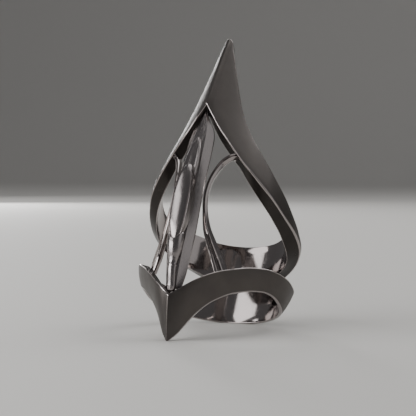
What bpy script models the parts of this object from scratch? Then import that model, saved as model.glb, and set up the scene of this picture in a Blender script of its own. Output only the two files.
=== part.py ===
"""A long sculptural finger ring that rests on its lower point and on the back of its band.

Units are metres. The ring is modelled upright in its own frame, with the finger axis along +Z, the
front along -Y and the flat rim of the finger hole at z = 0. A parent empty leans it back until the
lower point and the rim stand on the ground plane.

The band is a loft. Each of its edges is a table of stations round the finger: the angle from the
front in degrees, the distance from the finger axis and the height, both in millimetres. Smooth
curves through the stations give the edges, and straight lines between the edges give the walls.
"""
from math import atan2, cos, pi, sin

import bmesh
import bpy
import numpy as np

MM = 0.001

# Driving dimensions, in millimetres
FINGER = 8.9                  # inside of the shank, 17.8 mm across
SHANK = 10.6                  # outside of the shank, where it is thickest
RIM = 9.35                    # outside of the thin lower rim
TIP_HEIGHT = 34.15            # top of the hood above the rim
POINT_DROP = 8.95             # lower point below the rim
POINT_RADIUS = 10.8           # lower point in front of the finger axis
SPLIT_ANGLE = 158.0           # where the upper and lower bands grow together
SPLIT_HEIGHT = 5.6
GROUND_CUT = 0.15             # depth of the small flats that the ring stands on
CENTRE_SHIFT = -0.25          # moves the leaning ring's box over the origin
STATIONS = 76                 # sections of the band between front and back
FRONT_SPAN = 60.0             # half of the stations lie within this angle of the front
FRONT_CROWDING = 1.15         # power that crowds those towards the ridge
MERGE_DISTANCE = 0.01
GROUND_BLOCK = ((-20, -30, -10), (20, 30, 0))

# Edges of the upper band: angle, distance from the axis, height
HOOD_TOP_OUTER = (
    (0, 8.25, TIP_HEIGHT), (1.4, 8.25, 34.1), (3.2, 8.2, 33.8), (4.7, 8.2, 32.9), (8.6, 8.2, 31.1),
    (14, 8.2, 28.5), (19, 8.3, 26.0), (24, 8.45, 23.8), (28, 8.55, 22.4), (33, 8.63, 21.1),
    (38, 8.73, 19.9), (44, 8.85, 18.75), (50, 8.97, 17.65), (56, 9.12, 16.6), (62, 9.3, 15.5),
    (68, 9.48, 14.5), (74, 9.65, 13.6), (80, 9.82, 12.65), (86, 9.98, 11.75), (93, 10.15, 10.95),
    (100, 10.32, 10.15), (108, 10.5, 9.7), (120, SHANK, 9.5), (140, SHANK, 9.9),
    (160, SHANK, 10.4), (180, SHANK, 10.6))
HOOD_LOW_OUTER = (
    (0, 11.7, 22.95), (6, 11.5, 21.15), (10, 11.2, 20.0), (15, 11.0, 18.85), (20, 10.8, 17.75),
    (25, 10.7, 16.75), (30, 10.6, 15.8), (36, 10.5, 14.95), (42, 10.4, 14.15), (49, 10.35, 13.25),
    (56, 10.3, 12.5), (62, 10.2, 11.9), (68, 10.15, 11.3), (75, 10.15, 10.65), (82, 10.2, 10.15),
    (90, 10.3, 9.6), (99, 10.45, 9.0), (110, SHANK, 8.3), (122, SHANK, 7.6), (135, SHANK, 6.9),
    (148, SHANK, 6.15), (SPLIT_ANGLE, SHANK, SPLIT_HEIGHT), (180, SHANK, 5.4))
HOOD_LOW_INNER = (
    (0, 10.3, 21.7), (6, 10.1, 20.0), (10, 9.8, 18.9), (15, 9.5, 17.9), (20, 9.25, 17.0),
    (25, 9.05, 16.2), (29, 8.95, 15.7), (33, FINGER, 14.95), (41, FINGER, 13.45), (47, FINGER, 12.6),
    (52, FINGER, 11.9), (58.5, FINGER, 11.1), (64.5, FINGER, 10.4), (71, FINGER, 9.7),
    (78, FINGER, 9.1), (85, FINGER, 8.4), (95, FINGER, 7.75), (110, FINGER, 7.15), (134, FINGER, 6.5),
    (148, FINGER, 6.0), (SPLIT_ANGLE, FINGER, SPLIT_HEIGHT), (180, FINGER, 5.4))
HOOD_TOP_INNER = (
    (0, 7.0, 33.6), (1.4, 7.0, 33.55), (3.2, 6.95, 33.25), (4.7, 6.95, 32.4), (8.6, 6.9, 30.8),
    (14, 6.9, 28.3), (19, 7.0, 25.9), (24, 7.2, 23.8), (28, 7.4, 22.5), (33, 7.6, 21.2),
    (38, 7.8, 20.1), (44, 8.05, 19.0), (50, 8.25, 17.9), (56, 8.45, 16.9), (62, 8.65, 15.9),
    (68, 8.8, 15.0), (74, FINGER, 14.2), (80, FINGER, 13.4), (86, FINGER, 12.7),
    (93, FINGER, 12.2), (100, FINGER, 11.9), (110, FINGER, 11.7), (122, FINGER, 11.65),
    (136, FINGER, 11.55), (150, FINGER, 11.2), (165, FINGER, 11.05), (180, FINGER, 11.0))

# Edges of the lower band
LOW_TOP_OUTER = (
    (0, 12.8, -3.4), (4, 12.6, -2.65), (8, 12.5, -1.95), (11, 12.35, -1.4), (16, 12.0, -0.55),
    (21.5, 11.7, 0.2), (27, 11.27, 0.85), (33.5, 10.88, 1.42), (40.5, 10.58, 1.97),
    (48, 10.31, 2.49), (57, 10.1, 2.93), (66, 10.1, 3.24), (77, 10.18, 3.4), (86, 10.27, 3.38),
    (94, 10.38, 3.3), (103, 10.48, 3.15), (115, SHANK, 3.15), (130, SHANK, 3.55),
    (146, SHANK, 4.5), (SPLIT_ANGLE, SHANK, SPLIT_HEIGHT), (180, SHANK, 5.4))
LOW_BOTTOM_OUTER = (
    (0, POINT_RADIUS, -POINT_DROP), (3, 10.55, -8.3), (7, 10.3, -7.35), (9, 10.2, -6.6),
    (12, 10.07, -5.6), (14.6, 9.99, -4.93), (18, 9.88, -4.15), (21.8, 9.8, -3.42),
    (24.3, 9.75, -3.01), (27.8, 9.69, -2.51), (32.6, 9.61, -1.94), (38.1, 9.51, -1.33),
    (46, 9.35, -0.75), (54.6, 9.25, -0.2), (62.7, 9.2, 0.2), (72, 9.2, 0.5),
    (82, 9.2, 0.55), (92, 9.25, 0.35), (104, 9.3, 0.1), (116, RIM, 0.0), (180, RIM, 0.0))
WALL_AT_POINT = 1.5           # thickness of both points in front
POINT_TAPER = 1.5             # how much higher the inner edge ends than the lower point

# Struts: height, distance of the outer edge to the side and forward, width, depth
STRUT_ROWS = (
    (16.3, 4.95, 8.75, 0.8, 0.9), (15.95, 4.4, 9.85, 0.8, 0.9), (15.1, 3.67, 10.5, 0.78, 0.9),
    (13.7, 3.1, 11.15, 0.68, 0.9), (12.2, 2.7, 11.6, 0.6, 0.9), (10.6, 2.52, 11.75, 0.58, 0.9),
    (9.1, 2.62, 11.75, 0.62, 0.9), (7.6, 2.92, 11.55, 0.75, 0.9), (6.2, 3.35, 11.15, 1.0, 0.9),
    (5.1, 3.88, 10.6, 1.25, 0.9), (4.0, 4.45, 9.9, 1.5, 0.9), (3.0, 5.0, 9.3, 1.75, 0.9),
    (1.4, 5.7, 8.5, 1.95, 0.8))
STRUT_SECTIONS = 30
STRUT_BACK_SHARE = 0.8        # width of a strut's back as a share of its front

# Blade of the scepter: height, distance forward, half widths of its face and its back, depth
BLADE_ROWS = (
    (-2.4, 12.0, 0.5, 0.95, 0.7), (0.0, 12.55, 0.65, 1.35, 1.2), (3.0, 13.0, 0.95, 1.65, 1.4),
    (6.0, 13.2, 1.2, 1.82, 1.5), (9.0, 13.2, 1.25, 1.82, 1.5), (12.0, 13.0, 1.2, 1.8, 1.4),
    (15.0, 12.55, 1.02, 1.78, 1.3), (18.0, 11.95, 0.82, 1.68, 1.1), (19.4, 11.65, 0.62, 1.38, 0.9),
    (20.8, 11.45, 0.36, 0.62, 0.6), (21.8, 11.4, 0.08, 0.14, 0.4))
# Raised forms on the blade: height of the middle, distance forward, half length, width, depth
BOSS = (8.3, 13.2, 5.6, 1.3, 1.15)
LEAF = (15.2, 12.7, 2.6, 0.9, 0.65)
# Round shaft and calyx below the boss: height, distance forward, radius
SHAFT_ROWS = ((-2.85, 12.1, 0.3), (-2.55, 12.15, 0.52), (0.3, 12.95, 0.56), (1.3, 13.1, 0.7),
              (2.4, 13.3, 0.92), (3.7, 13.45, 1.06), (3.9, 13.45, 0.85))
SIDES = 24
RAISED_SECTIONS = 19
RAISED_END = 0.02             # share of a raised form's length that its blunt ends leave off
RAISED_POWER = 0.8            # lower values give fuller forms

COLLECTION_NAME = "scepter_ring"
CUTTER_COLLECTION = "scepter_ring_cutters"


def smooth_curve(stations, angles):
    """Radius and height at the angles, by a cubic through the stations without overshoot."""
    table = np.array(stations, float)
    x = table[:, 0]
    out = []
    for y in (table[:, 1], table[:, 2]):
        step = np.diff(x)
        slope = np.diff(y) / step
        weight_a = 2 * step[1:] + step[:-1]
        weight_b = step[1:] + 2 * step[:-1]
        same_way = slope[:-1] * slope[1:] > 0
        safe = np.where(same_way, slope[:-1] * slope[1:], 1.0)
        middle = (weight_a + weight_b) * safe / (weight_a * slope[1:] + weight_b * slope[:-1] + 1e-30)
        tangent = np.concatenate([[slope[0]], np.where(same_way, middle, 0.0), [slope[-1]]])
        k = np.clip(np.searchsorted(x, angles, side="right") - 1, 0, len(x) - 2)
        t = (angles - x[k]) / step[k]
        out.append(y[k] * (1 + 2 * t) * (1 - t) ** 2 + tangent[k] * step[k] * t * (1 - t) ** 2
                   + y[k + 1] * t * t * (3 - 2 * t) + tangent[k + 1] * step[k] * t * t * (t - 1))
    return out[0], out[1]


def spread_rows(rows, count):
    """Rows of a table resampled evenly along their order, each column as a smooth cubic."""
    table = np.array(rows, float)
    order = np.arange(len(table), dtype=float)
    wanted = np.linspace(0.0, order[-1], count)
    k = np.clip(wanted.astype(int), 0, len(table) - 2)
    t = (wanted - k)[:, None]
    tangent = np.gradient(table, axis=0)
    return (table[k] * (1 + 2 * t) * (1 - t) ** 2 + tangent[k] * t * (1 - t) ** 2
            + table[k + 1] * t * t * (3 - 2 * t) + tangent[k + 1] * t * t * (t - 1))


def edge_points(stations, angles):
    """Points of one edge in metres, on the +X side, for angles from the front in degrees."""
    radius, height = smooth_curve(stations, angles)
    turn = np.radians(angles)
    side = radius * np.sin(turn)
    side[np.isclose(angles, 0.0) | np.isclose(angles, 180.0)] = 0.0
    return np.column_stack([side, -radius * np.cos(turn), height]) * MM


def make_collection(name):
    collection = bpy.data.collections.new(name)
    bpy.context.scene.collection.children.link(collection)
    return collection


def metal(name, colour, roughness):
    """Bare metal with the given base colour and roughness."""
    material = bpy.data.materials.new(name)
    material.use_nodes = True
    shader = material.node_tree.nodes["Principled BSDF"]
    shader.inputs["Base Color"].default_value = (*colour, 1.0)
    shader.inputs["Metallic"].default_value = 1.0
    shader.inputs["Roughness"].default_value = roughness
    return material


def add_object(name, mesh, collection, parent, material=None):
    obj = bpy.data.objects.new(name, mesh)
    collection.objects.link(obj)
    obj.parent = parent
    if material:
        mesh.materials.append(material)
    return obj


def mesh_from(name, points, faces):
    """Mesh of the points and faces, with faulty faces taken out."""
    mesh = bpy.data.meshes.new(name)
    mesh.from_pydata([tuple(p) for p in points], [], faces)
    mesh.validate()
    return mesh


def face_outward(mesh):
    """Turns the faces of a closed mesh outward."""
    work = bmesh.new()
    work.from_mesh(mesh)
    bmesh.ops.recalc_face_normals(work, faces=work.faces)
    work.to_mesh(mesh)
    work.free()


def loft(name, sections):
    """Closed body through sections of equally many points, with both ends capped."""
    sections = np.asarray(sections, float)
    count, sides = sections.shape[:2]
    faces = [tuple(range(sides))[::-1], tuple((count - 1) * sides + i for i in range(sides))]
    for row in range(count - 1):
        for i in range(sides):
            j = (i + 1) % sides
            a, b = row * sides, (row + 1) * sides
            faces.append((a + i, a + j, b + j, b + i))
    mesh = mesh_from(name, sections.reshape(-1, 3), faces)
    face_outward(mesh)
    return mesh


def make_band(collection, parent, material):
    """Half of the band from front to back, mirrored across the middle plane."""
    half = STATIONS // 2
    front = np.linspace(0.0, 1.0, half) ** FRONT_CROWDING * FRONT_SPAN
    back = np.linspace(FRONT_SPAN, 180.0, STATIONS - half + 1)[1:]
    angles = np.unique(np.round(np.concatenate([front, back, [SPLIT_ANGLE]]), 4))
    low_bottom_inner = [(a, max(FINGER, r - WALL_AT_POINT), z + POINT_TAPER * (z / POINT_DROP) ** 2)
                        for a, r, z in LOW_BOTTOM_OUTER]
    low_top_inner = [(a, max(FINGER, r - WALL_AT_POINT), z) for a, r, z in LOW_TOP_OUTER]
    edges = [edge_points(table, angles) for table in (
        HOOD_TOP_OUTER, HOOD_LOW_OUTER, HOOD_LOW_INNER, HOOD_TOP_INNER,
        LOW_TOP_OUTER, LOW_BOTTOM_OUTER, low_bottom_inner, low_top_inner)]
    top_out, low_out, low_in, top_in, up_out, down_out, down_in, up_in = range(8)
    split = int(np.argmin(abs(angles - SPLIT_ANGLE)))
    count = len(angles)
    points = np.concatenate(edges)

    def vertex(edge, station):
        # Behind the split the facing edges of the two bands are one and the same edge
        if station >= split and edge == up_out:
            edge = low_out
        if station >= split and edge == up_in:
            edge = low_in
        return edge * count + station

    walls = [(top_out, low_out, True), (low_out, low_in, False), (low_in, top_in, True),
             (top_in, top_out, True), (up_out, down_out, True), (down_out, down_in, True),
             (down_in, up_in, True), (up_in, up_out, False)]
    faces = []
    for i in range(count - 1):
        for a, b, goes_round in walls:
            if goes_round or i < split:
                corners = [vertex(a, i), vertex(b, i), vertex(b, i + 1), vertex(a, i + 1)]
                faces.append(tuple(dict.fromkeys(corners)))
    mesh = mesh_from("band", points, faces)
    work = bmesh.new()
    work.from_mesh(mesh)
    loose = [v for v in work.verts if not v.link_faces]
    bmesh.ops.delete(work, geom=loose, context="VERTS")
    work.to_mesh(mesh)
    work.free()
    band = add_object("band", mesh, collection, parent, material)
    mirror = band.modifiers.new("mirror", "MIRROR")
    mirror.use_axis = (True, False, False)
    mirror.merge_threshold = MERGE_DISTANCE * MM
    return band


def strut_mesh(name, side):
    """Bow-shaped web: four-sided sections hung on the path of its outer front edge. Their depth
    runs back towards the finger."""
    rows = spread_rows(STRUT_ROWS, STRUT_SECTIONS)
    path = np.column_stack([side * rows[:, 1], -rows[:, 2], rows[:, 0]])
    along = np.gradient(path, axis=0)
    along /= np.linalg.norm(along, axis=1, keepdims=True)
    back = np.column_stack([-path[:, 0], -path[:, 1], np.zeros(len(path))])
    back -= along * np.sum(back * along, axis=1, keepdims=True)
    back /= np.linalg.norm(back, axis=1, keepdims=True)
    inward = np.cross(along, back)
    inward *= -np.sign(np.sum(inward[:, 0]) * side)
    width, depth = rows[:, 3:4], rows[:, 4:5]
    corners = [path + inward * width, path, path + back * depth,
               path + inward * width * STRUT_BACK_SHARE + back * depth]
    return loft(name, np.stack(corners, axis=1) * MM)


def blade_mesh():
    """Bowed blade whose sections have a front flat, two slanted flanks and a wider back."""
    sections = []
    for height, forward, face, back, depth in BLADE_ROWS:
        rear = depth - forward
        sections.append([(-face, -forward, height), (face, -forward, height),
                         (back, rear, height), (-back, rear, height)])
    return loft("scepter", np.array(sections) * MM)


def shaft_mesh():
    """Round shaft that swells into the calyx which holds the lower end of the boss."""
    turn = np.arange(SIDES) * 2 * pi / SIDES
    sections = [np.column_stack([r * np.cos(turn), -forward + r * np.sin(turn),
                                 np.full(SIDES, height)]) for height, forward, r in SHAFT_ROWS]
    return loft("shaft", np.array(sections) * MM)


def almond_mesh(name, height, forward, half_length, half_width, half_depth):
    """Long body with pointed ends: its widths follow a sine raised to a low power."""
    turn = np.arange(SIDES) * 2 * pi / SIDES
    sections = []
    for t in np.linspace(RAISED_END, 1.0 - RAISED_END, RAISED_SECTIONS):
        swell = sin(pi * t) ** RAISED_POWER
        z = height + half_length * (2 * t - 1)
        sections.append(np.column_stack([half_width * swell * np.cos(turn),
                                         -forward + half_depth * swell * np.sin(turn),
                                         np.full(SIDES, z)]))
    return loft(name, np.array(sections) * MM)


def box_mesh(name, low, high):
    """Axis-aligned box between two corners in millimetres."""
    x0, y0, z0 = low
    x1, y1, z1 = high
    rings = [[(x0, y0, z), (x1, y0, z), (x1, y1, z), (x0, y1, z)] for z in (z0, z1)]
    return loft(name, np.array(rings) * MM)


def combine(obj, tool, operation):
    """Adds or cuts away a tool body that stays out of sight."""
    tool.hide_render = True
    tool.display_type = "WIRE"
    modifier = obj.modifiers.new(tool.name, "BOOLEAN")
    modifier.operation = operation
    modifier.solver = "EXACT"
    modifier.object = tool


def main():
    for obj in list(bpy.data.objects):
        bpy.data.objects.remove(obj, do_unlink=True)
    parts = make_collection(COLLECTION_NAME)
    tools = make_collection(CUTTER_COLLECTION)
    satin = metal("satin_metal", (0.30, 0.29, 0.28), 0.42)
    polished = metal("polished_metal", (0.62, 0.60, 0.58), 0.08)

    # The lean that brings the lower point and the back of the rim to one level
    lean = atan2(POINT_DROP, POINT_RADIUS + RIM)
    lift = (POINT_DROP * cos(lean) - POINT_RADIUS * sin(lean) - GROUND_CUT) * MM
    stance = bpy.data.objects.new("stance", None)
    parts.objects.link(stance)
    stance.rotation_euler = (-lean, 0.0, 0.0)
    stance.location = (0.0, CENTRE_SHIFT * MM, lift)

    band = make_band(parts, stance, satin)
    for name, side in (("left_strut", -1), ("right_strut", 1)):
        combine(band, add_object(name, strut_mesh(name, side), tools, stance, polished), "UNION")
    ground = box_mesh("ground", *GROUND_BLOCK)
    combine(band, add_object("ground", ground, tools, None, satin), "DIFFERENCE")

    scepter = add_object("scepter", blade_mesh(), parts, stance, polished)
    for name, mesh in (("shaft", shaft_mesh()), ("boss", almond_mesh("boss", *BOSS)),
                       ("leaf", almond_mesh("leaf", *LEAF))):
        combine(scepter, add_object(name, mesh, tools, stance, polished), "UNION")
    bpy.context.view_layer.update()


main()
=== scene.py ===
"""Scepter ring on a pale floor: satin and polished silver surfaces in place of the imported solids.

Every surface is worked out with numpy in the ring's own frame, in millimetres: the finger axis is
+Z, the front -Y, and the rim of the finger hole z = 0. to_world leans the ring back and turns the
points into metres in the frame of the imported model.
"""
from math import atan2, cos, pi, radians, sin

import bmesh
import bpy
import numpy as np
from mathutils import Matrix, Vector


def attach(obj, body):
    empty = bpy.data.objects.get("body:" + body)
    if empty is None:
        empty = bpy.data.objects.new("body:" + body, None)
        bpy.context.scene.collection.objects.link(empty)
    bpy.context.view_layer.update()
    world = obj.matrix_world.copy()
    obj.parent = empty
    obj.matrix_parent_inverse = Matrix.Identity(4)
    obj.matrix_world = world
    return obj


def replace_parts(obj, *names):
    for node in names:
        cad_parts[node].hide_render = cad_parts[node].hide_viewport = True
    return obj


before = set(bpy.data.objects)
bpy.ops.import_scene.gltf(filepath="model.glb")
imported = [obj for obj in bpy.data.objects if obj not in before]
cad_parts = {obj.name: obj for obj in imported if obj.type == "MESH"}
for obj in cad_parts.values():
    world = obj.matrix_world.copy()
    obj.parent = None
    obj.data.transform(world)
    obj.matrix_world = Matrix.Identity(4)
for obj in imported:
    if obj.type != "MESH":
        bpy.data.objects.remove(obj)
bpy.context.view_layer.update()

MM = 0.001
FINGER = 8.9                  # inside of the shank
SHANK = 10.6                  # outside of the shank
RIM = 9.35                    # outside of the thin lower rim
POINT_DROP = 8.95             # lower point below the rim
POINT_RADIUS = 10.8           # lower point in front of the finger axis
SPLIT_ANGLE = 158.0           # where the upper and lower bands grow together
GROUND_CUT = 0.15             # depth of the flats that the ring stands on
CENTRE_SHIFT = -0.25          # puts the leaned ring's middle over the origin
LEAN = atan2(POINT_DROP, POINT_RADIUS + RIM)

# Edges of the upper band: angle from the front, distance from the axis, height
HOOD_TOP_OUTER = (
    (0, 8.25, 34.15), (1.4, 8.25, 34.1), (3.2, 8.2, 33.8), (4.7, 8.2, 32.9), (8.6, 8.2, 31.1),
    (14, 8.2, 28.5), (19, 8.3, 26.0), (24, 8.45, 23.8), (28, 8.55, 22.4), (33, 8.63, 21.1),
    (38, 8.73, 19.9), (44, 8.85, 18.75), (50, 8.97, 17.65), (56, 9.12, 16.6), (62, 9.3, 15.5),
    (68, 9.48, 14.5), (74, 9.65, 13.6), (80, 9.82, 12.65), (86, 9.98, 11.75), (93, 10.15, 10.95),
    (100, 10.32, 10.15), (108, 10.5, 9.7), (120, SHANK, 9.5), (140, SHANK, 9.9),
    (160, SHANK, 10.4), (180, SHANK, 10.6))
HOOD_LOW_OUTER = (
    (0, 11.7, 22.95), (6, 11.5, 21.15), (10, 11.2, 20.0), (15, 11.0, 18.85), (20, 10.8, 17.75),
    (25, 10.7, 16.75), (30, 10.6, 15.8), (36, 10.5, 14.95), (42, 10.4, 14.15), (49, 10.35, 13.25),
    (56, 10.3, 12.5), (62, 10.2, 11.9), (68, 10.15, 11.3), (75, 10.15, 10.65), (82, 10.2, 10.15),
    (90, 10.3, 9.6), (99, 10.45, 9.0), (110, SHANK, 8.3), (122, SHANK, 7.6), (135, SHANK, 6.9),
    (148, SHANK, 6.15), (158, SHANK, 5.6), (180, SHANK, 5.4))
HOOD_LOW_INNER = (
    (0, 10.3, 21.7), (6, 10.1, 20.0), (10, 9.8, 18.9), (15, 9.5, 17.9), (20, 9.25, 17.0),
    (25, 9.05, 16.2), (29, 8.95, 15.7), (33, FINGER, 14.95), (41, FINGER, 13.45),
    (47, FINGER, 12.6), (52, FINGER, 11.9), (58.5, FINGER, 11.1), (64.5, FINGER, 10.4),
    (71, FINGER, 9.7), (78, FINGER, 9.1), (85, FINGER, 8.4), (95, FINGER, 7.75),
    (110, FINGER, 7.15), (134, FINGER, 6.5), (148, FINGER, 6.0), (158, FINGER, 5.6),
    (180, FINGER, 5.4))
HOOD_TOP_INNER = (
    (0, 7.0, 33.6), (1.4, 7.0, 33.55), (3.2, 6.95, 33.25), (4.7, 6.95, 32.4), (8.6, 6.9, 30.8),
    (14, 6.9, 28.3), (19, 7.0, 25.9), (24, 7.2, 23.8), (28, 7.4, 22.5), (33, 7.6, 21.2),
    (38, 7.8, 20.1), (44, 8.05, 19.0), (50, 8.25, 17.9), (56, 8.45, 16.9), (62, 8.65, 15.9),
    (68, 8.8, 15.0), (74, FINGER, 14.2), (80, FINGER, 13.4), (86, FINGER, 12.7),
    (93, FINGER, 12.2), (100, FINGER, 11.9), (110, FINGER, 11.7), (122, FINGER, 11.65),
    (136, FINGER, 11.55), (150, FINGER, 11.2), (165, FINGER, 11.05), (180, FINGER, 11.0))

# Edges of the lower band
LOW_TOP_OUTER = (
    (0, 12.8, -3.4), (4, 12.6, -2.65), (8, 12.5, -1.95), (11, 12.35, -1.4), (16, 12.0, -0.55),
    (21.5, 11.7, 0.2), (27, 11.27, 0.85), (33.5, 10.88, 1.42), (40.5, 10.58, 1.97),
    (48, 10.31, 2.49), (57, 10.1, 2.93), (66, 10.1, 3.24), (77, 10.18, 3.4), (86, 10.27, 3.38),
    (94, 10.38, 3.3), (103, 10.48, 3.15), (115, SHANK, 3.15), (130, SHANK, 3.55),
    (146, SHANK, 4.5), (158, SHANK, 5.6), (180, SHANK, 5.4))
LOW_BOTTOM_OUTER = (
    (0, POINT_RADIUS, -POINT_DROP), (3, 10.55, -8.3), (7, 10.3, -7.35), (9, 10.2, -6.6),
    (12, 10.07, -5.6), (14.6, 9.99, -4.93), (18, 9.88, -4.15), (21.8, 9.8, -3.42),
    (24.3, 9.75, -3.01), (27.8, 9.69, -2.51), (32.6, 9.61, -1.94), (38.1, 9.51, -1.33),
    (46, 9.35, -0.75), (54.6, 9.25, -0.2), (62.7, 9.2, 0.2), (72, 9.2, 0.5), (82, 9.2, 0.55),
    (92, 9.25, 0.35), (104, 9.3, 0.1), (116, RIM, 0.0), (180, RIM, 0.0))
LOWER_WALL = 1.5              # of the lower band, where the finger hole leaves that much
POINT_TAPER = 1.5             # how far the point's inner edge ends above its outer one

# Struts from top to bottom: height, distance of the outer edge to the side and forward, width,
# depth
STRUT_ROWS = (
    (16.3, 4.95, 8.75, 0.8, 0.9), (15.95, 4.4, 9.85, 0.8, 0.9), (15.1, 3.67, 10.5, 0.78, 0.9),
    (13.7, 3.1, 11.15, 0.68, 0.9), (12.2, 2.7, 11.6, 0.6, 0.9), (10.6, 2.52, 11.75, 0.58, 0.9),
    (9.1, 2.62, 11.75, 0.62, 0.9), (7.6, 2.92, 11.55, 0.75, 0.9), (6.2, 3.35, 11.15, 1.0, 0.9),
    (5.1, 3.88, 10.6, 1.25, 0.9), (4.0, 4.45, 9.9, 1.5, 0.9), (3.0, 5.0, 9.3, 1.75, 0.9),
    (1.4, 5.7, 8.5, 1.95, 0.8))
# A strut's section from its outer front edge to the inner one, then round its back: across as a
# share of the width, down as shares of the bevel and of the depth. A bevelled face turned
# outwards, a groove and a thin rail.
STRUT_PROFILE = (
    (0.04, 1.2, 0.0), (0.0, 1.08, 0.0), (0.01, 0.96, 0.0), (0.06, 0.82, 0.0), (0.16, 0.62, 0.0),
    (0.28, 0.38, 0.0), (0.40, 0.12, 0.0), (0.45, 0.02, 0.0), (0.48, 0.0, 0.0), (0.51, 0.06, 0.0),
    (0.54, 0.25, 0.0), (0.58, 0.45, 0.0), (0.64, 0.5, 0.0), (0.70, 0.4, 0.0), (0.74, 0.18, 0.0),
    (0.78, 0.08, 0.0), (0.84, 0.05, 0.0), (0.93, 0.08, 0.0), (0.98, 0.2, 0.0), (1.0, 0.5, 0.0),
    (0.94, 0.0, 0.8), (0.84, 0.0, 0.98), (0.78, 0.0, 1.0), (0.2, 0.0, 1.0), (0.12, 0.0, 0.97),
    (0.07, 0.0, 0.85))
STRUT_BEVEL = 0.5             # bevel where the strut is wide, elsewhere half the width

# Blade of the scepter: height, distance forward, half widths of its face and its back, depth
BLADE_ROWS = (
    (-2.4, 12.0, 0.5, 0.95, 0.7), (0.0, 12.55, 0.65, 1.35, 1.2), (3.0, 13.0, 0.95, 1.65, 1.4),
    (6.0, 13.2, 1.2, 1.82, 1.5), (9.0, 13.2, 1.25, 1.82, 1.5), (12.0, 13.0, 1.2, 1.8, 1.4),
    (15.0, 12.55, 1.02, 1.78, 1.3), (18.0, 11.95, 0.82, 1.68, 1.1), (19.4, 11.65, 0.62, 1.38, 0.9),
    (20.8, 11.45, 0.36, 0.62, 0.6), (21.8, 11.4, 0.08, 0.14, 0.4))
# Boss: height, and how much of its section's width it has there
BOSS_OUTLINE = (
    (2.7, 0.0), (2.95, 0.15), (3.7, 0.46), (4.8, 0.73), (6.0, 0.92), (7.5, 0.99), (8.8, 1.0),
    (10.3, 0.95), (11.9, 0.8), (13.0, 0.56), (13.6, 0.34), (13.95, 0.0))
# Half of the boss's section in mm: to the side, and above the blade's face. A lens, a groove, the
# bezel wire and a border that runs down into the flank.
BOSS_SECTION = (
    (0.0, 1.20), (0.25, 1.19), (0.50, 1.155), (0.72, 1.10), (0.90, 1.03), (1.01, 0.97),
    (1.045, 0.88), (1.075, 0.86), (1.10, 0.90), (1.13, 0.95), (1.17, 0.95), (1.20, 0.87),
    (1.215, 0.66), (1.235, 0.40), (1.26, 0.20), (1.31, 0.02), (1.36, -0.18), (1.40, -0.42),
    (1.30, -0.75), (0.5, -0.9))
# Leaf above the boss: the same two tables
LEAF_OUTLINE = (
    (12.0, 0.95), (13.0, 1.08), (14.0, 1.1), (15.0, 1.02), (16.0, 0.85), (17.0, 0.58), (17.7, 0.3),
    (18.1, 0.0))
LEAF_SECTION = (
    (0.0, 0.34), (0.25, 0.32), (0.42, 0.28), (0.52, 0.30), (0.64, 0.37), (0.76, 0.38), (0.86, 0.31),
    (0.93, 0.17), (0.97, 0.0), (0.97, -0.3), (0.5, -0.4))
# Round shaft and calyx below the boss: height, distance forward, radius
SHAFT_ROWS = (
    (-2.85, 12.1, 0.3), (-2.75, 12.12, 0.46), (-2.55, 12.15, 0.53), (-2.2, 12.25, 0.56),
    (0.0, 12.9, 0.56), (0.3, 12.93, 0.595), (0.55, 12.96, 0.57), (1.1, 13.02, 0.66),
    (1.8, 13.1, 0.84), (2.6, 13.18, 0.98), (3.4, 13.24, 1.05), (3.9, 13.26, 1.04),
    (4.05, 13.26, 0.9))

# How the band's edges are smoothed, in degrees round the finger
ANGLE_STEP = 0.25
BELL_WIDTH = 2.5
BELL_STEPS = 40               # the bell ends this many steps to each side
BELL_FADE = (3.0, 9.0)        # the averaging fades in between these angles
RIDGE_EASE = 0.8

# Section of the band: points on each side and corner, chamfers and crowns in mm
SIDE_POINTS = 7
CORNER_POINTS = 4
MOST_CUT = 0.4                # most of a side that one corner's chamfer may take
RIM_CUT = 0.14
UPPER_WINDOW_CUT = 0.22
LOWER_WINDOW_CUT = 0.16
INNER_WINDOW_CUT = 0.12
UPPER_CROWN = 0.06
LOWER_CROWN = 0.12
SPLIT_FADE = 8.0              # degrees before the split in which the windows' chamfers run out
BAND_STATIONS = 261           # from the front to the back
BAND_CROWDING = 1.5           # power that crowds the stations towards the front

# Numbers of rings along the scepter and the struts, and of points across
STRUT_RINGS = 120
BLADE_RINGS = 140
BLADE_FACE_POINTS = 13
BLADE_FLANK_POINTS = 9
RELIEF_RINGS = 110
SHAFT_RINGS = 110
SHAFT_SIDES = 60

# Finer forms of the scepter, in mm or as shares
FLUTE_DEPTH = 0.09
FLUTED_SHARE = 0.97           # of the face's half width, the rest is its edge
FLANK_SINK = 0.02
FLANK_START = 0.04            # share of the flank that the face's edge takes
SIDE_WALL = 0.28
SIDE_WALL_SHARES = (0.15, 0.85)
BACK_SHARES = (0.93, 0.5)     # points across the blade's flat back, the first beside its edge
RELIEF_FULLNESS = 0.33        # power of the outline's share that gives the height
RELIEF_TIP = 0.04             # radians left out at both tips, where the fans close the form
CUP_REACH = 3.0
CUP_LIFT = 0.55

# Noise scales in cells per metre, with the width of one cell
GRIT = 9000.0                 # 0.11 mm
CLOUDS = 450.0                # 2.2 mm
BUFFING_WAVES = 350.0         # 2.9 mm
WORN_PATCHES = 2500.0         # 0.4 mm
PAPER_TOOTH = 900.0           # 1.1 mm

# Camera: place in metres, angles in degrees to the ring's right and down, lens in mm
CAMERA_PLACE = (0.08025, -0.18391, 0.02286)
CAMERA_TURN = 23.7
CAMERA_TILT = 2.0
CAMERA_LENS = 133.65
CAMERA_SENSOR = 36.0

# Floor and its sweep up into the wall, in metres
FLOOR_FRONT = -1.2
FLOOR_SIDE = 2.0
SWEEP_START = 0.9
SWEEP_RADIUS = 0.5
WALL_TOP = 1.6
SWEEP_POINTS = 25

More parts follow.
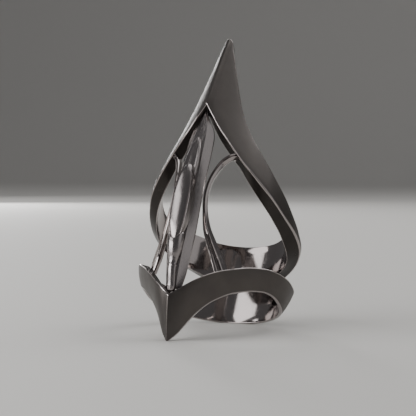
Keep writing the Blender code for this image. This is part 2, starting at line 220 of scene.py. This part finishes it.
# Soft boxes: name, place, width and height in metres, power in watts
LIGHT_TARGET = (0.0, 0.0, 0.018)
SOFTBOXES = (
    ("left_box", (-0.35, -0.38, 0.145), (0.64, 0.20), 2.1),
    ("high_left_box", (-0.36, -0.25, 0.355), (0.46, 0.16), 0.6),
    ("rim_strip", (-0.287, 0.41, 0.15), (0.04, 0.26), 0.4),
    ("back_left_box", (-0.40, 0.45, 0.18), (0.16, 0.22), 0.25),
    ("right_box", (0.46, 0.0, 0.32), (0.34, 0.72), 0.36),
    ("back_right_box", (0.19, 0.34, 0.41), (0.34, 0.34), 0.8),
    ("top_box", (0.0, 0.10, 0.70), (0.50, 0.40), 0.95))
ROOM_COLOUR = "#b8b8ba"
ROOM_STRENGTH = 0.27


# Shapes

def to_world(points):
    """Points in the ring's frame, in mm, leaned back and set on the ground, in metres. Nothing
    reaches below the ground: the lowest points are pressed flat against it."""
    p = np.asarray(points, float)
    c, s = cos(LEAN), sin(LEAN)
    lift = POINT_DROP * c - POINT_RADIUS * s - GROUND_CUT
    y = p[..., 1] * c + p[..., 2] * s + CENTRE_SHIFT
    z = p[..., 2] * c - p[..., 1] * s + lift
    return np.stack([p[..., 0], y, np.maximum(z, 0.0)], axis=-1) * MM


def smooth_curve(table, at):
    """Columns after the first, at the given values of the first, by the cubic whose slope at each
    row is the harmonic mean of the slopes on both sides, so that it never overshoots."""
    t = np.array(table, float)
    x, y = t[:, 0], t[:, 1:]
    step = np.diff(x)[:, None]
    slope = np.diff(y, axis=0) / step
    wa, wb = 2 * step[1:] + step[:-1], step[1:] + 2 * step[:-1]
    product = slope[:-1] * slope[1:]
    same = product > 0
    middle = (wa + wb) * product / np.where(same, wa * slope[1:] + wb * slope[:-1], 1.0)
    tangent = np.concatenate([slope[:1], np.where(same, middle, 0.0), slope[-1:]])
    k = np.clip(np.searchsorted(x, at, side="right") - 1, 0, len(x) - 2)
    h = step[k]
    u = ((np.asarray(at) - x[k]) / step[k, 0])[:, None]
    return (y[k] * (1 + 2 * u) * (1 - u) ** 2 + tangent[k] * h * u * (1 - u) ** 2
            + y[k + 1] * u * u * (3 - 2 * u) + tangent[k + 1] * h * u * u * (u - 1))


def spread_rows(rows, count):
    """Rows of a table resampled evenly along their order, each column as a smooth cubic whose
    slope at a row is the mean of the steps on both sides."""
    t = np.array(rows, float)
    wanted = np.linspace(0.0, len(t) - 1.0, count)
    k = np.clip(wanted.astype(int), 0, len(t) - 2)
    u = (wanted - k)[:, None]
    d = np.gradient(t, axis=0)
    return (t[k] * (1 + 2 * u) * (1 - u) ** 2 + d[k] * u * (1 - u) ** 2
            + t[k + 1] * u * u * (3 - 2 * u) + d[k + 1] * u * u * (u - 1))


def edge(table, theta):
    """One edge of the band as (radius, height) at each angle: the table's cubic, averaged over a
    bell so that no row shows as a ripple. The averaging fades in a few degrees from the middle,
    which keeps the front's form. The curve is carried past both its ends by point reflection,
    which keeps its slope there. The angle is first eased to a parabola within about a degree of
    the middle, which rounds the ridge by about 0.1 mm."""
    dense = np.arange(0.0, 180.01, ANGLE_STEP)
    curve = smooth_curve(table, dense)
    padded = np.concatenate([2 * curve[0] - curve[BELL_STEPS:0:-1], curve,
                             2 * curve[-1] - curve[-2:-BELL_STEPS - 2:-1]])
    away = np.arange(-BELL_STEPS, BELL_STEPS + 1) * ANGLE_STEP
    bell = np.exp(-0.5 * (away / BELL_WIDTH) ** 2)
    bell /= bell.sum()
    even = np.stack([np.convolve(c, bell, "valid") for c in padded.T], axis=1)
    share = np.clip((dense[:, None] - BELL_FADE[0]) / (BELL_FADE[1] - BELL_FADE[0]), 0.0, 1.0)
    even = curve + (even - curve) * share * share * (3 - 2 * share)
    a = abs(theta)
    a = a * np.tanh(a / RIDGE_EASE)
    return np.stack([np.interp(a, dense, c) for c in even.T], axis=1)


def rounded_section(corners, cuts, crowns):
    """Closed section through the corners, with each corner replaced by a quadratic arc that starts
    a cut's length before it and ends as far after it, and each side bulged outward by its crown
    times 4 t (1 - t). corners is (stations, 4, 2), cuts (stations, 4). Returns the section's
    points and, for each point, the number of the side or 10 + the number of the corner."""
    out, kind = [], []
    n = corners.shape[1]
    for i in range(n):
        here, after, before = corners[:, i], corners[:, (i + 1) % n], corners[:, i - 1]
        ahead, behind = after - here, before - here
        la = np.linalg.norm(ahead, axis=1, keepdims=True) + 1e-9
        lb = np.linalg.norm(behind, axis=1, keepdims=True) + 1e-9
        c = np.minimum(cuts[:, i:i + 1], MOST_CUT * np.minimum(la, lb))
        start, end = here + behind / lb * c, here + ahead / la * c
        for t in np.linspace(0.0, 1.0, CORNER_POINTS):
            out.append(start * (1 - t) ** 2 + here * 2 * t * (1 - t) + end * t * t)
            kind.append(10 + i)
        c2 = np.minimum(cuts[:, (i + 1) % n:(i + 1) % n + 1], MOST_CUT * la)
        side_end = after - ahead / la * c2
        normal = np.stack([-ahead[:, 1], ahead[:, 0]], axis=1) / la
        for t in np.linspace(0.0, 1.0, SIDE_POINTS)[1:-1]:
            out.append(end * (1 - t) + side_end * t + normal * crowns[i] * 4 * t * (1 - t))
            kind.append(i)
    return np.stack(out, axis=1), np.array(kind)


def grid_faces(rows, columns, close_columns=True):
    """Quads between neighbouring rows and columns of a grid of points, as one index array."""
    r, c = np.meshgrid(np.arange(rows - 1), np.arange(columns if close_columns else columns - 1),
                       indexing="ij")
    d = (c + 1) % columns
    return np.stack([r * columns + c, r * columns + d, (r + 1) * columns + d,
                     (r + 1) * columns + c], axis=-1).reshape(-1, 4)


def finish_piece(name, points, faces, materials, index=None, sharp=40, merge=1e-7):
    """Mesh of the points and faces in world metres: points closer than merge, in metres, become
    one, the faces are turned outward, and the shading is smooth up to sharp, in degrees. The piece
    rides on the ring's one body."""
    mesh = bpy.data.meshes.new(name)
    mesh.from_pydata(points.reshape(-1, 3), [], faces)
    for material in materials:
        mesh.materials.append(material)
    if index is not None:
        mesh.polygons.foreach_set("material_index", np.asarray(index, np.int32))
    work = bmesh.new()
    work.from_mesh(mesh)
    bmesh.ops.remove_doubles(work, verts=work.verts, dist=merge)
    bmesh.ops.dissolve_degenerate(work, edges=work.edges, dist=merge)
    bmesh.ops.recalc_face_normals(work, faces=work.faces)
    work.to_mesh(mesh)
    work.free()
    mesh.polygons.foreach_set("use_smooth", np.ones(len(mesh.polygons), bool))
    mesh.set_sharp_from_angle(angle=radians(sharp))
    obj = bpy.data.objects.new(name, mesh)
    bpy.context.scene.collection.objects.link(obj)
    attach(obj, "root")
    return obj


def band_tube(theta, tables, cuts, crowns):
    """One band carried round the finger: its rounded section at each angle, in the ring's frame,
    and the side or corner that each of the section's points belongs to."""
    corners = np.stack([edge(t, theta) for t in tables], axis=1)
    section, kind = rounded_section(corners, cuts, crowns)
    turn = np.radians(theta)[:, None]
    r, z = section[..., 0], section[..., 1]
    return np.stack([r * np.sin(turn), -r * np.cos(turn), z], axis=-1), kind


def make_band(satin, polished, painted_shade_metal):
    """The shank: an upper and a lower tube round the finger. Stations crowd towards the front as
    a power of an even count. Behind the split the two tubes' facing walls are left out and their
    shared edges merge, which makes one solid."""
    half = 180.0 * np.linspace(0.0, 1.0, BAND_STATIONS) ** BAND_CROWDING
    half = np.unique(np.append(half, SPLIT_ANGLE))
    theta = np.concatenate([-half[:0:-1], half])
    near_split = np.clip((SPLIT_ANGLE - abs(theta)) / SPLIT_FADE, 0.0, 1.0)
    rim = np.full_like(theta, RIM_CUT)
    inner = INNER_WINDOW_CUT * near_split
    low_top_inner = [(a, max(FINGER, r - LOWER_WALL), z) for a, r, z in LOW_TOP_OUTER]
    low_bottom_inner = [(a, max(FINGER, r - LOWER_WALL), z + POINT_TAPER * (z / POINT_DROP) ** 2)
                        for a, r, z in LOW_BOTTOM_OUTER]
    upper, kind_u = band_tube(
        theta, (HOOD_TOP_OUTER, HOOD_LOW_OUTER, HOOD_LOW_INNER, HOOD_TOP_INNER),
        np.stack([rim, UPPER_WINDOW_CUT * near_split, inner, rim], axis=1),
        (UPPER_CROWN, 0, 0, 0))
    lower, kind_l = band_tube(
        theta, (LOW_TOP_OUTER, LOW_BOTTOM_OUTER, low_bottom_inner, low_top_inner),
        np.stack([LOWER_WINDOW_CUT * near_split, rim, rim, inner], axis=1),
        (LOWER_CROWN, 0, 0, 0))
    stations = len(theta)
    points, faces, index, start = [], [], [], 0
    middle = (abs(theta[:-1]) + abs(theta[1:])) / 2
    # Side 0 of each section faces out. The upper tube's side 1 and the lower one's side 3 face the
    # windows between them and get the darker satin copy, painted shade where the bands shade each
    # other.
    for tube, kind, window_side in ((upper, kind_u, 1), (lower, kind_l, 3)):
        columns = tube.shape[1]
        column = np.tile(np.arange(columns), stations - 1)
        here, after = kind[column], kind[(column + 1) % columns]
        outside = (here == 0) | (after == 0)
        shaded_reveal = (here == window_side) | (after == window_side)
        keep = ~(shaded_reveal & (np.repeat(middle, columns) > SPLIT_ANGLE))
        faces.append(grid_faces(stations, columns)[keep] + start)
        index.append(np.where(outside, 0, np.where(shaded_reveal, 2, 1))[keep])
        points.append(tube.reshape(-1, 3))
        start += stations * columns
    return finish_piece("band_surface", to_world(np.concatenate(points)), np.concatenate(faces),
                        [satin, polished, painted_shade_metal], np.concatenate(index),
                        merge=2e-7)


def sweep_piece(name, sections, material, sharp=40):
    """Sections of equally many points joined into a tube, its ends closed by a fan to their
    middle. sections is (rows, columns, 3) in the ring's frame."""
    rows, columns = sections.shape[:2]
    points = np.concatenate([sections.reshape(-1, 3), sections[:1].mean(axis=1),
                             sections[-1:].mean(axis=1)])
    ring = np.arange(columns)
    after = (ring + 1) % columns
    first, last = np.full(columns, rows * columns), np.full(columns, rows * columns + 1)
    tail = (rows - 1) * columns
    faces = (grid_faces(rows, columns).tolist() + np.stack([first, after, ring], 1).tolist()
             + np.stack([last, ring + tail, after + tail], 1).tolist())
    return finish_piece(name, to_world(points), faces, [material], None, sharp)


def make_strut(name, side, material):
    """Bow-shaped web: the strut's profile carried along its outer front edge, its width square to
    the path and its depth towards the finger axis."""
    rows = spread_rows(STRUT_ROWS, STRUT_RINGS)
    path = np.column_stack([side * rows[:, 1], -rows[:, 2], rows[:, 0]])
    along = np.gradient(path, axis=0)
    along /= np.linalg.norm(along, axis=1, keepdims=True)
    back = np.column_stack([-path[:, 0], -path[:, 1], np.zeros(len(path))])
    back -= along * np.sum(back * along, axis=1, keepdims=True)
    back /= np.linalg.norm(back, axis=1, keepdims=True)
    inward = np.cross(along, back)
    inward *= -np.sign(np.sum(inward[:, 0]) * side)
    width, depth = rows[:, 3:4], rows[:, 4:5]
    bevel = np.minimum(0.5 * width, STRUT_BEVEL)
    section = [path + inward * width * across + back * (bevel * drop + depth * deep)
               for across, drop, deep in STRUT_PROFILE]
    return sweep_piece(name, np.stack(section, axis=1), material, sharp=30)


def make_blade(material):
    """Bowed blade of the scepter: a front fluted by the square of a sine, a hollow-ground flank on
    each side that sinks by a sine between its edges, a thin side wall and a flat back."""
    z = np.linspace(BLADE_ROWS[0][0], BLADE_ROWS[-1][0], BLADE_RINGS)
    forward, face, back, depth = smooth_curve(BLADE_ROWS, z).T
    half = []
    for t in np.linspace(0.0, 1.0, BLADE_FACE_POINTS):
        flute = FLUTE_DEPTH * np.sin(1.5 * pi * t) ** 2
        half.append((face * t * FLUTED_SHARE, -forward + flute))
    for t in np.linspace(FLANK_START, 1.0, BLADE_FLANK_POINTS):
        sink = FLANK_SINK * np.sin(pi * t)
        half.append((face + (back - face) * t - sink * 0.5,
                     -forward + (depth - SIDE_WALL) * t + sink))
    for t in SIDE_WALL_SHARES:
        half.append((back, -forward + depth - SIDE_WALL * (1 - t)))
    for share in BACK_SHARES:
        half.append((back * share, -forward + depth))
    right = [np.stack([x, y, z], axis=-1) for x, y in half]
    left = [p * (-1, 1, 1) for p in right[:0:-1]]
    return sweep_piece("scepter_blade", np.stack(right + left, axis=1), material, sharp=25)


def make_relief(name, outline, section, material):
    """Raised form on the blade: its section stands on the blade's face, scaled to the side by the
    outline's share and, where it rises above the face, in height by a power of the share. Rings
    crowd towards both tips as the cosine of an even angle."""
    low, high = outline[0][0], outline[-1][0]
    angle = np.linspace(RELIEF_TIP, pi - RELIEF_TIP, RELIEF_RINGS)
    z = (low + high) / 2 - (high - low) / 2 * np.cos(angle)
    share = smooth_curve(outline, z)[:, :1]
    face = smooth_curve(BLADE_ROWS, z)[:, :1]
    side, rise = np.array(section).T
    rise = rise * np.where(rise > 0, share ** RELIEF_FULLNESS, 1.0)
    right = np.stack([side * share, -face - rise, np.broadcast_to(z[:, None], rise.shape)], axis=-1)
    left = right[:, :0:-1] * (-1, 1, 1)
    return sweep_piece(name, np.concatenate([right, left], axis=1), material, sharp=35)


def make_shaft(material):
    """Round stem that swells into a cup. The nearer a ring lies to the cup's mouth, the more it
    rises at both sides of the boss and dips before and behind it, as the cosine of twice the
    angle."""
    mouth = SHAFT_ROWS[-1][0]
    z = np.linspace(SHAFT_ROWS[0][0], mouth, SHAFT_RINGS)
    forward, radius = smooth_curve(SHAFT_ROWS, z).T
    turn = np.linspace(0.0, 2 * pi, SHAFT_SIDES + 1)[:-1]
    near = np.clip(1.0 - (mouth - z) / CUP_REACH, 0.0, 1.0)[:, None] ** 2
    x = radius[:, None] * np.cos(turn)
    y = -forward[:, None] + radius[:, None] * np.sin(turn)
    lift = CUP_LIFT * near * np.cos(2 * turn)
    return sweep_piece("scepter_shaft", np.stack([x, y, z[:, None] + lift], axis=-1), material)


# Materials

def linear(code):
    """sRGB hex to linear RGBA."""
    rgb = [int(code[i:i + 2], 16) / 255 for i in (1, 3, 5)]
    return [c / 12.92 if c <= 0.04045 else ((c + 0.055) / 1.055) ** 2.4 for c in rgb] + [1.0]


def node(tree, kind, inputs=None, **settings):
    """Adds a node, sets its properties, and fills its sockets with values or links."""
    made = tree.nodes.new(kind)
    for key, value in settings.items():
        setattr(made, key, value)
    for key, value in (inputs or {}).items():
        if isinstance(value, bpy.types.NodeSocket):
            tree.links.new(value, made.inputs[key])
        else:
            made.inputs[key].default_value = value
    return made


def satin_silver(name, dark, light, smooth, dull):
    """Darkened silver, blasted with fine grit: a soft sheen without any mirror image. The grit's
    dents are drawn about 0.1 mm wide, coarser than real ones, so that they show, and broader
    clouds of 1 to 3 mm show where fingers have rubbed it brighter."""
    material = bpy.data.materials.new(name)
    material.use_nodes = True
    tree = material.node_tree
    shader = tree.nodes["Principled BSDF"]
    place = node(tree, "ShaderNodeTexCoord").outputs["Object"]
    grain = node(tree, "ShaderNodeTexNoise", {"Vector": place, "Scale": GRIT, "Detail": 3.0})
    cloud = node(tree, "ShaderNodeTexNoise", {"Vector": place, "Scale": CLOUDS, "Detail": 4.0})
    tint = node(tree, "ShaderNodeMix", {0: cloud.outputs["Fac"], 6: linear(dark),
                                        7: linear(light)}, data_type="RGBA")
    rough = node(tree, "ShaderNodeMapRange", {"Value": cloud.outputs["Fac"], "From Min": 0.3,
                                              "From Max": 0.7, "To Min": dull, "To Max": smooth})
    bump = node(tree, "ShaderNodeBump", {"Height": grain.outputs["Fac"], "Strength": 0.12,
                                         "Distance": 0.04 * MM})
    shader.inputs["Metallic"].default_value = 1.0
    tree.links.new(tint.outputs[2], shader.inputs["Base Color"])
    tree.links.new(rough.outputs["Result"], shader.inputs["Roughness"])
    tree.links.new(bump.outputs["Normal"], shader.inputs["Normal"])
    return material


def polished_silver(name, base, smooth, dull):
    """Silver buffed to a mirror: crisp black and white images of the room. Faint waves of 3 mm,
    left by the buffing wheel, bend them, and patches of 0.4 mm that are worn a little duller
    soften the brightest light."""
    material = bpy.data.materials.new(name)
    material.use_nodes = True
    tree = material.node_tree
    shader = tree.nodes["Principled BSDF"]
    place = node(tree, "ShaderNodeTexCoord").outputs["Object"]
    wave = node(tree, "ShaderNodeTexNoise", {"Vector": place, "Scale": BUFFING_WAVES, "Detail": 0.0})
    worn = node(tree, "ShaderNodeTexNoise", {"Vector": place, "Scale": WORN_PATCHES, "Detail": 5.0})
    rough = node(tree, "ShaderNodeMapRange", {"Value": worn.outputs["Fac"], "From Min": 0.35,
                                              "From Max": 0.7, "To Min": smooth, "To Max": dull})
    bump = node(tree, "ShaderNodeBump", {"Height": wave.outputs["Fac"], "Strength": 0.03,
                                         "Distance": 0.05 * MM})
    shader.inputs["Base Color"].default_value = linear(base)
    shader.inputs["Metallic"].default_value = 1.0
    tree.links.new(rough.outputs["Result"], shader.inputs["Roughness"])
    tree.links.new(bump.outputs["Normal"], shader.inputs["Normal"])
    return material


def floor_paper():
    """Pale matt paper with a barely visible tooth about 1 mm wide."""
    material = bpy.data.materials.new("pale_paper")
    material.use_nodes = True
    tree = material.node_tree
    shader = tree.nodes["Principled BSDF"]
    place = node(tree, "ShaderNodeTexCoord").outputs["Object"]
    tooth = node(tree, "ShaderNodeTexNoise", {"Vector": place, "Scale": PAPER_TOOTH, "Detail": 3.0})
    bump = node(tree, "ShaderNodeBump", {"Height": tooth.outputs["Fac"], "Strength": 0.05,
                                         "Distance": 0.1 * MM})
    shader.inputs["Base Color"].default_value = linear("#e0deda")
    shader.inputs["Roughness"].default_value = 0.75
    tree.links.new(bump.outputs["Normal"], shader.inputs["Normal"])
    return material


# Studio

def make_camera():
    """Looks across the table and slightly down, 0.2 m away and to the ring's right, with a long
    lens: the 416 pixels take in 15.3 degrees."""
    data = bpy.data.cameras.new("camera")
    data.sensor_width = CAMERA_SENSOR
    data.lens = CAMERA_LENS
    data.clip_start = 0.005
    camera = bpy.data.objects.new("camera", data)
    bpy.context.scene.collection.objects.link(camera)
    a, e = radians(CAMERA_TURN), radians(CAMERA_TILT)
    look = Vector((-sin(a) * cos(e), cos(a) * cos(e), -sin(e)))
    right = Vector((cos(a), sin(a), 0.0))
    up = right.cross(look)
    turn = Matrix((right, up, -look)).transposed().to_4x4()
    camera.matrix_world = Matrix.Translation(CAMERA_PLACE) @ turn
    bpy.context.scene.camera = camera


def make_floor(material):
    """Floor that runs back into a wall through a wide quarter turn. All of it is stage."""
    t = np.linspace(0.0, pi / 2, SWEEP_POINTS)
    run = np.concatenate([[FLOOR_FRONT], SWEEP_START + SWEEP_RADIUS * np.sin(t),
                          [SWEEP_START + SWEEP_RADIUS]])
    rise = np.concatenate([[0.0], SWEEP_RADIUS - SWEEP_RADIUS * np.cos(t), [WALL_TOP]])
    x, y = np.meshgrid([-FLOOR_SIDE, FLOOR_SIDE], run)
    z = np.repeat(rise[:, None], 2, axis=1)
    mesh = bpy.data.meshes.new("floor")
    mesh.from_pydata(np.stack([x, y, z], axis=-1).reshape(-1, 3), [],
                     grid_faces(len(run), 2, False))
    mesh.materials.append(material)
    mesh.polygons.foreach_set("use_smooth", np.ones(len(mesh.polygons), bool))
    floor = bpy.data.objects.new("floor", mesh)
    bpy.context.scene.collection.objects.link(floor)


def softbox(name, place, size, power):
    """Rectangular area light, turned towards the middle of the ring."""
    data = bpy.data.lights.new(name, "AREA")
    data.shape = "RECTANGLE"
    data.size, data.size_y = size
    data.energy = power
    light = bpy.data.objects.new(name, data)
    bpy.context.scene.collection.objects.link(light)
    light.location = place
    light.visible_camera = False
    facing = Vector(LIGHT_TARGET) - Vector(place)
    light.rotation_euler = facing.to_track_quat("-Z", "Y").to_euler()


def make_lights():
    """The soft boxes, each where the ring's faces mirror it, in an evenly lit pale room."""
    for name, place, size, power in SOFTBOXES:
        softbox(name, place, size, power)
    world = bpy.data.worlds.new("studio")
    world.use_nodes = True
    back = world.node_tree.nodes["Background"]
    back.inputs["Color"].default_value = linear(ROOM_COLOUR)
    back.inputs["Strength"].default_value = ROOM_STRENGTH
    bpy.context.scene.world = world


def main():
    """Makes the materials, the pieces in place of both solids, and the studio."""
    polished = polished_silver("mirror_polished_silver", "#a59e9c", smooth=0.07, dull=0.14)
    glossy = polished_silver("tumble_polished_silver", "#9a9493", smooth=0.2, dull=0.26)
    satin = satin_silver("satin_blasted_silver", "#56514f", "#5f5b58", smooth=0.36, dull=0.44)
    # A darker copy of the satin: painted shade on the walls that face the windows between the bands.
    shaded_reveal = satin_silver("shaded_reveal_silver", "#383533", "#44403e", smooth=0.26, dull=0.34)
    band = make_band(satin, polished, shaded_reveal)
    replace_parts(band, "band")
    for name, side in (("left_strut_surface", -1), ("right_strut_surface", 1)):
        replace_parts(make_strut(name, side, polished), "band")
    blade = make_blade(glossy)
    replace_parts(blade, "scepter")
    make_relief("scepter_boss", BOSS_OUTLINE, BOSS_SECTION, glossy)
    make_relief("scepter_leaf", LEAF_OUTLINE, LEAF_SECTION, glossy)
    make_shaft(glossy)
    make_floor(floor_paper())
    make_lights()
    make_camera()


main()
